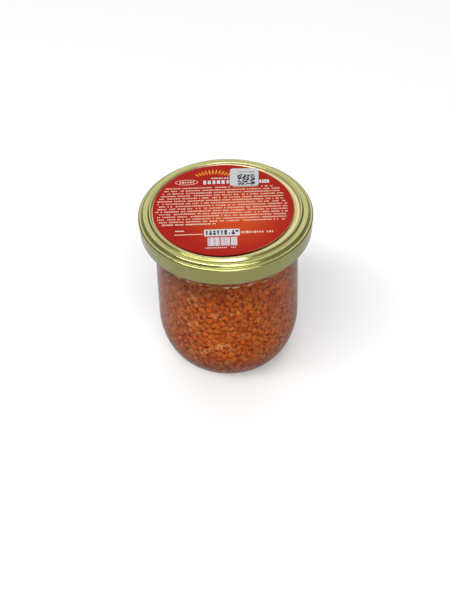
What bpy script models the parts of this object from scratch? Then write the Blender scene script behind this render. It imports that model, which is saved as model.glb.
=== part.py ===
"""Salmon roe in a shut glass jar with a gold metal lid.

The jar is a round-bottomed tumbler with a wide neck, and the lid is a pressed tin cap of the 82 mm
size. Lengths are metres, +Z is up, and the origin is the middle of the foot, on the table.
"""

import math
import random

import bmesh
import bpy
from mathutils import Vector

# The whole object
TOTAL_HEIGHT = 0.0907
TURN_STEPS = 48
TOUCH_GAP = 0.0003

# Lid, a pressed sheet whose outer face is described; drops are from the top of its crest
LID_RADIUS = 0.0430
LID_DEPTH = 0.0123
LID_SHEET = 0.0004
PANEL_DROP = 0.0013
PANEL_RADIUS = 0.0364
CREST_RADIUS = 0.0372
CREST_ROUND = 0.0007
VALLEY = (0.0386, 0.0011)
BEAD_RADIUS = 0.0399
BEAD_DROP = 0.0008
BEAD_ROUND = 0.0016
SHOULDER_ROUND = 0.0009
SHOULDER_DROP = 0.0025
SKIRT_FOOT_RADIUS = 0.0424
HEM_ROUND = 0.0006

# Label and code sticker, which lie in the lid's sunk panel
PAPER = 0.0003
LABEL_RADIUS = 0.0348
LABEL_SHIFT = (-0.0010, 0.0007)
STICKER_SIZE = (0.0144, 0.0140)
STICKER_CORNER = 0.0018
STICKER_AT = (0.0099, 0.0243)
STICKER_TURN = math.radians(-2.0)

# Glass jar
FOOT_RADIUS = 0.0195
FOOT_INNER_RADIUS = 0.0160
PUSH_UP = 0.0012
BODY_RADIUS = 0.0357
WAIST_RADIUS = 0.0356
BOWL_HEIGHT = 0.0270
WALL = 0.0026
BOTTOM = 0.0036
OUTER_FLARE = (0.0705, 0.0770)
INNER_FLARE = (0.0690, 0.0820)
NECK_RADIUS = 0.0404
NECK_INNER_RADIUS = 0.0376
RIM_ROUND = 0.0010
RIM_BELOW_LID_TOP = 0.0015

# Roe
EGG_PITCH = 0.0051
ROW_STEP = math.sqrt(3) / 2
EGG_RELIEF = 0.0012
EGG_JITTER = 0.12
TIP_SCATTER = 0.0003
FILL_HEIGHT = 0.0852
SEED = 11


def clear_scene():
    for obj in list(bpy.data.objects):
        bpy.data.objects.remove(obj)


def material(name, colour, roughness, metallic=0.0, transmission=0.0):
    made = bpy.data.materials.new(name)
    made.use_nodes = True
    shader = made.node_tree.nodes["Principled BSDF"]
    shader.inputs["Base Color"].default_value = (*colour, 1.0)
    shader.inputs["Roughness"].default_value = roughness
    shader.inputs["Metallic"].default_value = metallic
    shader.inputs["Transmission Weight"].default_value = transmission
    return made


def arc(centre, radii, start, end, steps):
    """Points of an ellipse's arc in the (radius, height) plane, with the angles in degrees."""
    points = []
    for i in range(steps + 1):
        angle = math.radians(start + (end - start) * i / steps)
        points.append((centre[0] + radii[0] * math.cos(angle), centre[1] + radii[1] * math.sin(angle)))
    return points


def flare(radii, heights, steps):
    """Points of a soft S that leads from one radius and height to another."""
    points = []
    for i in range(steps + 1):
        share = i / steps
        eased = (1 - math.cos(math.pi * share)) / 2
        radius = radii[0] + (radii[1] - radii[0]) * eased
        points.append((radius, heights[0] + (heights[1] - heights[0]) * share))
    return points


def turned(name, profile):
    """A mesh object made by spinning (radius, height) points round the Z axis."""
    mesh = bmesh.new()
    line = [mesh.verts.new((radius, 0, height)) for radius, height in profile]
    edges = [mesh.edges.new(pair) for pair in zip(line, line[1:])]
    bmesh.ops.spin(
        mesh, geom=line + edges, cent=(0, 0, 0), axis=(0, 0, 1), angle=2 * math.pi,
        steps=TURN_STEPS, use_merge=True,
    )
    bmesh.ops.remove_doubles(mesh, verts=mesh.verts, dist=1e-6)
    bmesh.ops.recalc_face_normals(mesh, faces=mesh.faces)
    return finished(name, mesh)


def finished(name, mesh):
    data = bpy.data.meshes.new(name)
    mesh.to_mesh(data)
    mesh.free()
    data.shade_smooth()
    data.set_sharp_from_angle(angle=math.radians(35))
    obj = bpy.data.objects.new(name, data)
    bpy.context.scene.collection.objects.link(obj)
    return obj


def inner_wall():
    """The jar's inside outline, from the middle of the bottom up to the neck."""
    inner_foot = FOOT_RADIUS - WALL / 2
    bowl_radii = (BODY_RADIUS - WALL - inner_foot, BOWL_HEIGHT - BOTTOM)
    bowl = arc((inner_foot, BOWL_HEIGHT), bowl_radii, -90, 0, 6)
    neck = flare((WAIST_RADIUS - WALL, NECK_INNER_RADIUS), INNER_FLARE, 4)
    return [(0, BOTTOM), *bowl, *neck]


def make_jar(glass):
    rim_top = TOTAL_HEIGHT - RIM_BELOW_LID_TOP
    rim_centre = (NECK_RADIUS - RIM_ROUND, rim_top - RIM_ROUND)
    bowl_radii = (BODY_RADIUS - FOOT_RADIUS, BOWL_HEIGHT)
    profile = [
        (0, PUSH_UP),
        (FOOT_INNER_RADIUS - PUSH_UP, PUSH_UP),
        (FOOT_INNER_RADIUS, 0),
        *arc((FOOT_RADIUS, BOWL_HEIGHT), bowl_radii, -90, 0, 8),
        *flare((WAIST_RADIUS, NECK_RADIUS), OUTER_FLARE, 4),
        *arc(rim_centre, (RIM_ROUND, RIM_ROUND), 0, 180, 4),
        (NECK_INNER_RADIUS, rim_top - 2 * RIM_ROUND),
        *reversed(inner_wall()),
    ]
    jar = turned("jar_glass", profile)
    jar.data.materials.append(glass)
    return jar


def make_lid(gold):
    """The lid's outer face, turned as one sheet and given its thickness inwards."""
    top = TOTAL_HEIGHT
    panel = top - PANEL_DROP
    crest_centre = (CREST_RADIUS, top - CREST_ROUND)
    bead_centre = (BEAD_RADIUS, top - BEAD_DROP - BEAD_ROUND)
    shoulder_centre = (LID_RADIUS - SHOULDER_ROUND, top - SHOULDER_DROP - SHOULDER_ROUND)
    hem_centre = (SKIRT_FOOT_RADIUS - HEM_ROUND, top - LID_DEPTH + HEM_ROUND)
    profile = [
        (0, panel),
        (PANEL_RADIUS, panel),
        *arc(crest_centre, (CREST_ROUND, CREST_ROUND), 180, 30, 2),
        (VALLEY[0], top - VALLEY[1]),
        *arc(bead_centre, (BEAD_ROUND, BEAD_ROUND), 105, 0, 3),
        *arc(shoulder_centre, (SHOULDER_ROUND, SHOULDER_ROUND), 90, 0, 3),
        *arc(hem_centre, (HEM_ROUND, HEM_ROUND), 0, -180, 3),
    ]
    lid = turned("lid", profile)
    sheet = lid.modifiers.new("sheet", "SOLIDIFY")
    sheet.thickness = LID_SHEET
    sheet.offset = -1
    lid.data.materials.append(gold)
    return lid


def make_label(paper):
    mesh = bmesh.new()
    bmesh.ops.create_cone(
        mesh, cap_ends=True, segments=TURN_STEPS, radius1=LABEL_RADIUS, radius2=LABEL_RADIUS, depth=PAPER
    )
    label = finished("lid_label", mesh)
    label.location = (*LABEL_SHIFT, TOTAL_HEIGHT - PANEL_DROP + TOUCH_GAP + PAPER / 2)
    label.data.materials.append(paper)
    return label


def make_sticker(paper):
    """A rounded square of paper, extruded upwards."""
    half_width = STICKER_SIZE[0] / 2 - STICKER_CORNER
    half_depth = STICKER_SIZE[1] / 2 - STICKER_CORNER
    outline = []
    for quarter, (side, front) in enumerate(((1, 1), (-1, 1), (-1, -1), (1, -1))):
        centre = (side * half_width, front * half_depth)
        start = 90 * quarter
        outline += arc(centre, (STICKER_CORNER, STICKER_CORNER), start, start + 90, 3)
    mesh = bmesh.new()
    face = mesh.faces.new([mesh.verts.new((x, y, 0)) for x, y in outline])
    raised = bmesh.ops.extrude_face_region(mesh, geom=[face])["geom"]
    lifted = [item for item in raised if isinstance(item, bmesh.types.BMVert)]
    bmesh.ops.translate(mesh, verts=lifted, vec=(0, 0, PAPER))
    bmesh.ops.recalc_face_normals(mesh, faces=mesh.faces)
    sticker = finished("code_sticker", mesh)
    lift = TOTAL_HEIGHT - PANEL_DROP + 2 * TOUCH_GAP + PAPER
    sticker.location = (*STICKER_AT, lift)
    sticker.rotation_euler.z = STICKER_TURN
    sticker.data.materials.append(paper)
    return sticker


def heap_outline():
    """The outline that the roe fills, from the middle of the bottom to the middle of its top."""
    wall = [(radius, height) for radius, height in inner_wall() if height < FILL_HEIGHT]
    lifted = [(max(radius - TOUCH_GAP, 0), height + TOUCH_GAP) for radius, height in wall]
    edge_radius = NECK_INNER_RADIUS - TOUCH_GAP
    return [*lifted, (edge_radius, FILL_HEIGHT), (0, FILL_HEIGHT)]


def egg_rows(outline):
    """(radius, height) of each row of eggs, at even steps along the outline."""
    points = [Vector(point) for point in outline]
    lengths = [(b - a).length for a, b in zip(points, points[1:])]
    rows = round(sum(lengths) / (EGG_PITCH * ROW_STEP))
    found = []
    for row in range(rows + 1):
        left = sum(lengths) * row / rows
        for start, end, length in zip(points, points[1:], lengths):
            if left <= length:
                break
            left -= length
        found.append(start.lerp(end, min(left / length, 1)))
    return found


def egg_tips():
    """The outermost point of every egg: rows of eggs round the heap, each row half an egg on."""
    draw = random.Random(SEED)
    tips = []
    for row, (radius, height) in enumerate(egg_rows(heap_outline())):
        count = max(1, round(2 * math.pi * radius / EGG_PITCH))
        for i in range(count):
            angle = 2 * math.pi * (i + row % 2 / 2 + draw.uniform(-EGG_JITTER, EGG_JITTER)) / count
            inward = radius - draw.uniform(0, TIP_SCATTER)
            tips.append(Vector((inward * math.cos(angle), inward * math.sin(angle), height)))
    return tips


def make_roe(roe):
    """One solid with a bump for every egg. The tips are joined to their neighbours as the hull of
    their directions from the heap's middle, then the middle of every edge is pressed in."""
    middle = Vector((0, 0, FILL_HEIGHT / 2))
    mesh = bmesh.new()
    where = {}
    for tip in egg_tips():
        where[mesh.verts.new((tip - middle).normalized())] = tip
    bmesh.ops.convex_hull(mesh, input=mesh.verts)
    for vertex, tip in where.items():
        vertex.co = tip
    bmesh.ops.subdivide_edges(mesh, edges=mesh.edges, cuts=1, use_grid_fill=True)
    bmesh.ops.triangulate(mesh, faces=mesh.faces)
    mesh.normal_update()
    pressed = [(v, v.normal.copy()) for v in mesh.verts if v not in where]
    for vertex, normal in pressed:
        vertex.co -= normal * EGG_RELIEF
    heap = finished("roe", mesh)
    heap.data.materials.append(roe)
    return heap


def main():
    clear_scene()
    make_jar(material("clear_glass", (0.93, 0.96, 0.95), 0.03, transmission=1.0))
    make_roe(material("roe_eggs", (0.62, 0.13, 0.02), 0.25))
    make_lid(material("gold_lacquer", (0.62, 0.56, 0.24), 0.28, metallic=1.0))
    make_label(material("label_paper", (0.56, 0.05, 0.03), 0.45))
    make_sticker(material("sticker_paper", (0.85, 0.86, 0.90), 0.5))


main()
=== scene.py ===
"""The looks of a shut glass jar of salmon roe.

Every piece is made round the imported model, in metres, with +Z up and the middle of the jar's foot
at the origin. The label's lines are read from -Y.
"""

import math
import random

import bmesh
import bpy
from bpy.props import FloatProperty, FloatVectorProperty, IntProperty, PointerProperty
from mathutils import Matrix, Vector, noise


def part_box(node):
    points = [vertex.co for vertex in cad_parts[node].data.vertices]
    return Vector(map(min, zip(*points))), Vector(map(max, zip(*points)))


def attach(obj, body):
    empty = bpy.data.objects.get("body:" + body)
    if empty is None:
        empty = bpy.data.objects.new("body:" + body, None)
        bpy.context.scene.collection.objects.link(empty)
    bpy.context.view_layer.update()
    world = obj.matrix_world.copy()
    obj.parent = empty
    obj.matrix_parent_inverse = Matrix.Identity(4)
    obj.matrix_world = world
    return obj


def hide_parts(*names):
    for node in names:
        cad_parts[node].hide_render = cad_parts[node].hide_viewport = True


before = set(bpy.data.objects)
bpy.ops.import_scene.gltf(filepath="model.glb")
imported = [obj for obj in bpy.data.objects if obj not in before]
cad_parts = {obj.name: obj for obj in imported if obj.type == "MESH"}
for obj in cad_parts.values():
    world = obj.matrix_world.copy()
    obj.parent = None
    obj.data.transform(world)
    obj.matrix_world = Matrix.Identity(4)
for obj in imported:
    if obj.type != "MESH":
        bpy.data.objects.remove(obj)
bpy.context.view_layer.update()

bl_info = {
    "name": "Salmon roe jar",
    "version": (1, 0, 0),
    "blender": (4, 5, 0),
    "location": "View3D > Sidebar > Roe jar",
    "description": "Builds a glass jar of salmon roe with a gold lid and a printed label",
    "category": "Object",
}

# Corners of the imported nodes, which the sizes below start from
JAR_LOW, JAR_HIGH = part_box("jar_glass")
ROE_LOW, ROE_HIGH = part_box("roe")
LID_LOW, LID_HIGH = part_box("lid")
LABEL_LOW, LABEL_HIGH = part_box("lid_label")
STICKER_LOW, STICKER_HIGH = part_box("code_sticker")

# Heights between which the neck widens
NECK_INSIDE = (0.0690, 0.0820)
NECK_OUTSIDE = (0.0705, 0.0770)

# Steps of a full turn, and the thickness of the lid's sheet
TURN_STEPS = 144
SHEET = 0.0003

# The eggs, the liquid and the pale flecks of froth and painted glints: gaps, levels and sizes
EGG_GAP = 0.00008
EGG_PRESS = 0.00025
EGG_SINK = (-0.00005, 0.00025)
EGG_DENSITY = 900000.0
EGG_LEVEL = ROE_HIGH.z - 0.0003
MILK_LEVEL = ROE_HIGH.z - 0.0015
BRINE_REACH = 0.00015
FLECK_DEPTH = 0.0003
FLECK_WIDTH = (0.0008, 0.0023)
FLECK_HEIGHT = (0.0003, 0.0006)

# The print, from the middle of the label
LEAF_COUNT = 11
PRINT_MIDDLE = Vector((-0.0002, 0.0002, 0))
STICKER_SIZE = (0.0144, 0.0140)
CODE_SQUARE = 0.00062

# Names of what each egg's points keep
TONE = "tone"
EGG_AT = "egg_at"
DEPTH = "depth"


def metres(name, description, value):
    """A setting that the panel shows as a length."""
    return FloatProperty(name=name, description=description, default=value, unit="LENGTH")


def colour(name, description, value):
    """A setting that the panel shows as a colour."""
    return FloatVectorProperty(
        name=name, description=description, default=value, subtype="COLOR", min=0, max=1
    )


class JarSizes(bpy.types.PropertyGroup):
    """The glass jar's outline."""

    foot_radius: metres("Foot radius", "Outer edge of the flat ring that the jar stands on", 0.0195)
    foot_inner_radius: metres("Foot inner radius", "Inner edge of the flat ring", 0.0160)
    push_up: metres("Push-up", "Height of the hollow under the foot", 0.0012)
    body_radius: metres("Body radius", "Outer radius above the round bottom", 0.0357)
    waist_radius: metres("Waist radius", "Outer radius under the neck", 0.0356)
    bowl_height: metres("Bowl height", "Height of the round bottom", 0.0270)
    wall: metres("Wall", "Thickness of the glass", 0.0026)
    bottom: metres("Bottom", "Height of the inside of the bottom", 0.0036)
    neck_radius: metres("Neck radius", "Outer radius of the neck under the lid", 0.0404)
    neck_inner_radius: metres("Neck inner radius", "Inner radius of the neck", 0.0376)


class LidSizes(bpy.types.PropertyGroup):
    """The pressed lid's outline, with drops from the top of its crest."""

    panel_drop: metres("Panel drop", "Depth of the sunk panel", 0.0013)
    crest_radius: metres("Crest radius", "Radius of the highest ring", 0.0372)
    crest_round: metres("Crest round", "Rounding of the highest ring", 0.0007)
    groove_radius: metres(
        "Groove radius", "Radius of the shallow groove outside the highest ring", 0.0386,
    )
    groove_drop: metres("Groove drop", "Depth of the shallow groove", 0.0011)
    groove_round: metres("Groove round", "Rounding of the shallow groove", 0.0008)
    bead_radius: metres("Bead radius", "Radius of the wide bead", 0.0399)
    bead_drop: metres("Bead drop", "Depth of the wide bead's top", 0.0008)
    bead_round: metres("Bead round", "Rounding of the wide bead", 0.0016)
    shoulder_drop: metres("Shoulder drop", "Depth of the shoulder's top", 0.0025)
    shoulder_round: metres("Shoulder round", "Rounding between the top and the skirt", 0.0009)
    skirt_foot_radius: metres("Skirt foot radius", "Outer radius of the rolled hem", 0.0424)
    hem_round: metres("Hem round", "Rounding of the rolled hem", 0.0006)


class RoeSizes(bpy.types.PropertyGroup):
    """The eggs and what lies between them."""

    egg_radius: metres("Egg radius", "Radius of a mean egg", 0.00240)
    egg_spacing: metres("Egg spacing", "Least distance between two eggs' middles", 0.0033)
    egg_spread: FloatProperty(
        name="Egg spread", description="Share by which eggs are larger or smaller",
        default=0.10, subtype="FACTOR",
    )
    egg_seed: IntProperty(name="Egg seed", description="Seed of the eggs' places", default=4)
    fleck_count: IntProperty(name="Foam flecks", description="Number of flecks", default=80)
    fleck_low: metres("Foam low", "Lowest height of the foam flecks", 0.0684)
    fleck_high: metres("Foam high", "Highest height of the foam flecks", 0.0704)
    milk_depth: metres("Milk depth", "Distance from the glass to the milky juice", 0.00085)
    milk_swell: metres("Milk swell", "Height of the milky juice's unevenness", 0.00090)


class LabelSizes(bpy.types.PropertyGroup):
    """The print on the label and the sticker."""

    line_pitch: metres("Line pitch", "Distance between two printed lines", 0.0020)
    line_count: IntProperty(name="Lines", description="Number of printed lines", default=14)
    ink_height: metres("Ink height", "Height of the print above the paper", 0.00003)
    print_reach: metres("Print reach", "Radius of the round field that the lines fill", 0.0322)


class JarColours(bpy.types.PropertyGroup):
    """The colours of every finish, as linear values."""

    # Tint of edge-on glass: partly the glass's own tint, partly painted shade.
    glass_edge_and_shade: colour("Glass edge", "Tint of the glass seen edge-on", (0.97, 0.83, 0.42))
    # Froth colour, painted paler: the flecks under the lid also stand in for glints, in the lid's
    # shade.
    foam: colour("Foam", "Colour of the flecks under the lid", (0.95, 0.72, 0.46))
    glass: colour("Glass", "Tint of the clear glass", (0.97, 0.985, 0.98))
    brine: colour("Brine", "Tint of the clear liquid", (1.0, 0.95, 0.90))
    egg_dark: colour("Dark egg", "Colour of the darkest eggs", (0.34, 0.044, 0.001))
    egg_light: colour("Light egg", "Colour of the lightest eggs", (0.55, 0.110, 0.002))
    egg_spot: colour("Egg spot", "Colour of the oil drop in an egg", (0.17, 0.012, 0.001))
    milk_pale: colour("Pale milk", "Colour of the thick milky juice", (0.66, 0.310, 0.130))
    milk_warm: colour("Warm milk", "Colour of the thin milky juice", (0.50, 0.135, 0.014))
    gold: colour("Gold", "Colour of the lid's lacquer", (0.43, 0.42, 0.125))
    # Pale lacquer by the label, partly painted light that lifts the shade in the gap beside the
    # label.
    gold_edge_and_gap_light: colour("Edge gold", "Colour of the lacquer by the label", (0.76, 0.62, 0.36))
    gold_worn: colour("Worn gold", "Colour of the lacquer where it is rubbed", (0.56, 0.53, 0.24))
    label_red: colour("Label red", "Colour of the label's rim", (0.32, 0.010, 0.005))
    paper_edge: colour("Paper edge", "Colour of the label's cut edge", (0.36, 0.20, 0.10))
    label_glow: colour("Label glow", "Colour of the label's warm middle", (0.52, 0.062, 0.009))
    pale_ink: colour("Pale ink", "Colour of the printed lines", (0.68, 0.46, 0.35))
    white_ink: colour("White ink", "Colour of the white fields", (0.60, 0.60, 0.62))
    dark_ink: colour("Dark ink", "Colour of the dark marks", (0.022, 0.022, 0.040))
    warm_ink: colour("Warm ink", "Colour of the printed leaves", (0.66, 0.22, 0.02))
    sticker: colour("Sticker", "Colour of the sticker's paper", (0.53, 0.53, 0.55))
    floor: colour("Floor", "Colour of the floor", (0.97, 0.97, 0.97))
    # Painted reflection: the floor as glass and metal show it, darker than the floor itself.
    floor_in_painted_reflections: colour(
        "Mirrored floor", "Colour of the floor in glass and metal", (0.46, 0.46, 0.46)
    )


class StageSettings(bpy.types.PropertyGroup):
    """The camera and the light."""

    elevation: FloatProperty(
        name="Elevation", description="Camera's angle above the floor",
        default=math.radians(42.8), subtype="ANGLE",
    )
    roll: FloatProperty(
        name="Roll", description="Camera's turn about its own axis",
        default=math.radians(1.9), subtype="ANGLE",
    )
    distance: metres("Distance", "From the camera to the middle of the label", 0.75)
    lift: metres("Lift", "How far the picture's middle lies below the label's middle", 0.0443)
    lens: FloatProperty(name="Lens", description="Focal length in millimetres", default=92.0)
    sky: FloatProperty(name="Sky", description="Strength of the even light", default=0.44)
    key: FloatProperty(name="Key", description="Power of the large lamp in watts", default=7.2)
    back: FloatProperty(name="Back", description="Power of the back lamp in watts", default=5.4)
    fill: FloatProperty(name="Fill", description="Power of the front lamp in watts", default=2.8)


def put(tree, kind, inputs=None, **settings):
    """Adds a node. An input that is given a socket is linked, and any other is set."""
    node = tree.nodes.new(kind)
    for name, value in settings.items():
        setattr(node, name, value)
    for key, value in (inputs or {}).items():
        if isinstance(value, bpy.types.NodeSocket):
            tree.links.new(value, node.inputs[key])
        else:
            node.inputs[key].default_value = value
    return node


def maths(tree, operation, *values):
    """The result of one sum. Geometry trees use the same maths nodes as shaders."""
    return put(tree, "ShaderNodeMath", dict(enumerate(values)), operation=operation).outputs[0]


def axis(tree, vector, name):
    """One part of a vector, by its name."""
    return put(tree, "ShaderNodeSeparateXYZ", {0: vector}).outputs[name]


def shader_place(tree):
    """The place on the object, which every finished piece keeps in its mesh."""
    return put(tree, "ShaderNodeTexCoord").outputs["Object"]


def attribute(tree, name, output="Fac"):
    return put(tree, "ShaderNodeAttribute", attribute_name=name).outputs[output]


def vector_maths(tree, operation, *values):
    """The result of one vector operation. Some of them give a number."""
    node = put(tree, "ShaderNodeVectorMath", dict(enumerate(values)), operation=operation)
    is_number = operation in ("LENGTH", "DISTANCE", "DOT_PRODUCT")
    return node.outputs["Value" if is_number else "Vector"]


def ramp(tree, value, start, end, low=0.0, high=1.0, easing="LINEAR"):
    """A value that goes from low to high while another goes from start to end."""
    return put(tree, "ShaderNodeMapRange", {
        "Value": value, "From Min": start, "From Max": end, "To Min": low, "To Max": high,
    }, interpolation_type=easing).outputs[0]


def new_group(name, kind, inputs, outputs):
    """A node group with named sockets, given as (name, socket type, default)."""
    tree = bpy.data.node_groups.new(name, kind)
    for label, socket_type, default in inputs:
        socket = tree.interface.new_socket(label, in_out="INPUT", socket_type=socket_type)
        if default is not None:
            socket.default_value = default
    for label, socket_type in outputs:
        tree.interface.new_socket(label, in_out="OUTPUT", socket_type=socket_type)
    return tree, tree.nodes.new("NodeGroupInput"), tree.nodes.new("NodeGroupOutput")


FLOAT = "NodeSocketFloat"
WHOLE = "NodeSocketInt"
TRIPLE = "NodeSocketVector"
SHAPE = "NodeSocketGeometry"
STUFF = "NodeSocketMaterial"


# Shared shader groups and the nodes that use them

def mottle_group():
    """Two sizes of soft noise between 0 and 1."""
    tree, given, result = new_group(
        "mottle", "ShaderNodeTree",
        [("Scale", FLOAT, 300.0), ("Contrast", FLOAT, 1.0)],
        [("Value", FLOAT)],
    )
    place = shader_place(tree)
    soft = put(tree, "ShaderNodeTexNoise", {
        "Vector": place, "Scale": given.outputs["Scale"], "Detail": 3.0, "Roughness": 0.55,
    })
    centred = maths(tree, "SUBTRACT", soft.outputs[0], 0.5)
    wide = maths(tree, "MULTIPLY", centred, given.outputs["Contrast"])
    value = put(tree, "ShaderNodeClamp", {"Value": maths(tree, "ADD", wide, 0.5)})
    tree.links.new(value.outputs[0], result.inputs["Value"])
    return tree


def wear_group():
    """A mask of fine rubbed streaks, in patches."""
    tree, given, result = new_group(
        "wear", "ShaderNodeTree",
        [("Scale", FLOAT, 60.0), ("Amount", FLOAT, 0.5)],
        [("Mask", FLOAT)],
    )
    place = shader_place(tree)
    turned_place = put(tree, "ShaderNodeMapping", {
        "Vector": place, "Rotation": (0.3, 0.2, 0.7), "Scale": (1.0, 9.0, 3.0),
    })
    streaks = put(tree, "ShaderNodeTexNoise", {
        "Vector": turned_place.outputs[0], "Scale": given.outputs["Scale"], "Detail": 5.0,
    })
    patches = put(tree, "ShaderNodeTexNoise", {"Vector": place, "Scale": 90.0, "Detail": 2.0})
    both = maths(tree, "MULTIPLY", streaks.outputs[0], patches.outputs[0])
    mask = ramp(tree, both, 0.28, 0.42, high=given.outputs["Amount"])
    tree.links.new(mask, result.inputs["Mask"])
    return tree


def wear(tree, scale, amount):
    """A mask of rubbed streaks, up to the amount."""
    shared = bpy.data.node_groups.get("wear") or wear_group()
    inputs = {"Scale": scale, "Amount": amount}
    return put(tree, "ShaderNodeGroup", inputs, node_tree=shared).outputs["Mask"]


def mottle(tree, scale, contrast):
    """Soft noise between 0 and 1, with the scale in waves to the metre."""
    shared = bpy.data.node_groups.get("mottle") or mottle_group()
    inputs = {"Scale": scale, "Contrast": contrast}
    return put(tree, "ShaderNodeGroup", inputs, node_tree=shared).outputs["Value"]


def new_material(name):
    made = bpy.data.materials.new(name)
    made.use_nodes = True
    tree = made.node_tree
    tree.nodes.clear()
    shader = tree.nodes.new("ShaderNodeBsdfPrincipled")
    output = tree.nodes.new("ShaderNodeOutputMaterial")
    tree.links.new(shader.outputs[0], output.inputs["Surface"])
    return made, tree, shader


def feed(tree, shader, **sockets):
    """Links what varies over the surface to the shader's sockets."""
    for name, socket in sockets.items():
        tree.links.new(socket, shader.inputs[name.replace("_", " ")])


def mixed(tree, factor, first, second):
    """One colour that goes from the first to the second."""
    node = put(tree, "ShaderNodeMix", data_type="RGBA")
    for key, value in ((0, factor), (6, first), (7, second)):
        if isinstance(value, bpy.types.NodeSocket):
            tree.links.new(value, node.inputs[key])
        elif key:
            node.inputs[key].default_value = (*value, 1.0)
        else:
            node.inputs[key].default_value = value
    return node.outputs[2]


def bump(tree, shader, height, strength, distance):
    inputs = {"Height": height, "Strength": strength, "Distance": distance}
    feed(tree, shader, Normal=put(tree, "ShaderNodeBump", inputs).outputs[0])


def set_plain(shader, **values):
    """Sets values that are the same all over on the shader's own sockets."""
    for name, value in values.items():
        shader.inputs[name.replace("_", " ")].default_value = value


def grainy(tree, shader, seen, grain, rough, dents):
    """Gives a surface its colour, and the same grain in its roughness and its height."""
    least, span = rough
    uneven = maths(tree, "MULTIPLY_ADD", grain, span, least)
    feed(tree, shader, Base_Color=seen, Roughness=uneven)
    bump(tree, shader, grain, *dents)


def see_through(tree, shader, tint):
    """Lets light through to what is inside: a shadow ray meets plain tint, not glass."""
    ray = tree.nodes.new("ShaderNodeLightPath")
    clear = put(tree, "ShaderNodeBsdfTransparent", {"Color": (*tint, 1.0)})
    either = put(tree, "ShaderNodeMixShader", {
        0: ray.outputs["Is Shadow Ray"], 1: shader.outputs[0], 2: clear.outputs[0],
    })
    tree.links.new(either.outputs[0], tree.nodes["Material Output"].inputs["Surface"])


def glass_material(colours):
    """Glass against air, darker and warmer where it is seen edge-on: partly the glass's own tint,
    partly painted shade.
    """
    made, tree, shader = new_material("clear_glass")
    set_plain(shader, Transmission_Weight=1.0, IOR=1.50, Roughness=0.0,
              Specular_Tint=(0.20, 0.20, 0.20, 1.0))
    # Painted shade in part: the colour darkens and warms towards the edge-on rim of the glass.
    facing = put(tree, "ShaderNodeLayerWeight", {"Blend": 0.4}).outputs["Facing"]
    edge = ramp(tree, facing, 0.45, 0.95)
    tint = mixed(tree, edge, colours.glass, colours.glass_edge_and_shade)
    feed(tree, shader, Base_Color=tint)
    waves = mottle(tree, 45.0, 1.0)
    bump(tree, shader, waves, 0.20, 0.0006)
    see_through(tree, shader, colours.glass)
    return made


def wet_material(name, tint, ior):
    """A face between glass and brine, which hardly bends or reflects light."""
    made, tree, shader = new_material(name)
    set_plain(shader, Transmission_Weight=1.0, IOR=ior, Roughness=0.0,
              Specular_Tint=(0.0, 0.0, 0.0, 1.0))
    haze = mottle(tree, 160.0, 2.0)
    hazy = tuple(part * 0.96 for part in tint)
    feed(tree, shader, Base_Color=mixed(tree, haze, hazy, tint))
    see_through(tree, shader, tint)
    return made


def juice_tint(tree, colours):
    """The juice's colour: warm where it is thin, pale in patches, and paler near the bottom."""
    place = shader_place(tree)
    height = axis(tree, place, "Z")
    settled = ramp(tree, height, 0.004, 0.034, low=0.38, high=0.0)
    patches = mottle(tree, 130.0, 3.5)
    thick = ramp(tree, maths(tree, "ADD", patches, settled), 0.70, 1.15)
    return mixed(tree, thick, colours.milk_warm, colours.milk_pale)


def egg_material(colours):
    """Wet eggs. Each has its own tone, and an oil drop on one side of it."""
    made, tree, shader = new_material("roe_eggs")
    tone = attribute(tree, TONE)
    skin = mixed(tree, tone, colours.egg_dark, colours.egg_light)
    at = attribute(tree, EGG_AT, "Vector")
    along = axis(tree, at, "Z")
    drop = ramp(tree, along, 0.72, 0.88, high=0.8, easing="SMOOTHSTEP")
    spotted = mixed(tree, drop, skin, colours.egg_spot)
    cloud = mottle(tree, 700.0, 2.6)
    pale = maths(tree, "MULTIPLY", cloud, 0.55)
    lighter = mixed(tree, pale, spotted, colours.egg_light)
    deep = attribute(tree, DEPTH)
    flank = ramp(tree, deep, 0.0003, 0.0008, easing="SMOOTHSTEP")
    film = mottle(tree, 620.0, 6.0)
    share = maths(tree, "MULTIPLY_ADD", film, 0.80, 0.10)
    patches = mottle(tree, 125.0, 3.2)
    clouded = ramp(tree, patches, 0.50, 0.95, high=0.65)
    where = maths(tree, "MAXIMUM", flank, clouded)
    veiled = maths(tree, "MULTIPLY", where, share)
    filmed = mixed(tree, veiled, lighter, juice_tint(tree, colours))
    specks = mottle(tree, 560.0, 3.0)
    dark = ramp(tree, specks, 0.56, 0.80, high=0.85)
    final = mixed(tree, dark, filmed, colours.egg_spot)
    grainy(tree, shader, final, cloud, (0.16, 0.15), (0.15, 0.0002))
    set_plain(
        shader, Subsurface_Weight=0.35, Subsurface_Scale=0.0016,
        Subsurface_Radius=(1.0, 0.35, 0.12), Specular_IOR_Level=0.12, IOR=1.38,
    )
    return made


def milk_material(colours):
    """The milky juice between the eggs, thick and pale in patches."""
    made, tree, shader = new_material("roe_milk")
    fine = mottle(tree, 900.0, 1.8)
    speck = maths(tree, "MULTIPLY", fine, 0.12)
    final = mixed(tree, speck, juice_tint(tree, colours), colours.milk_pale)
    grainy(tree, shader, final, fine, (0.25, 0.2), (0.3, 0.0002))
    set_plain(
        shader, Subsurface_Weight=0.4, Subsurface_Scale=0.0014,
        Subsurface_Radius=(1.0, 0.45, 0.2), Specular_IOR_Level=0.12,
    )
    return made


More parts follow.
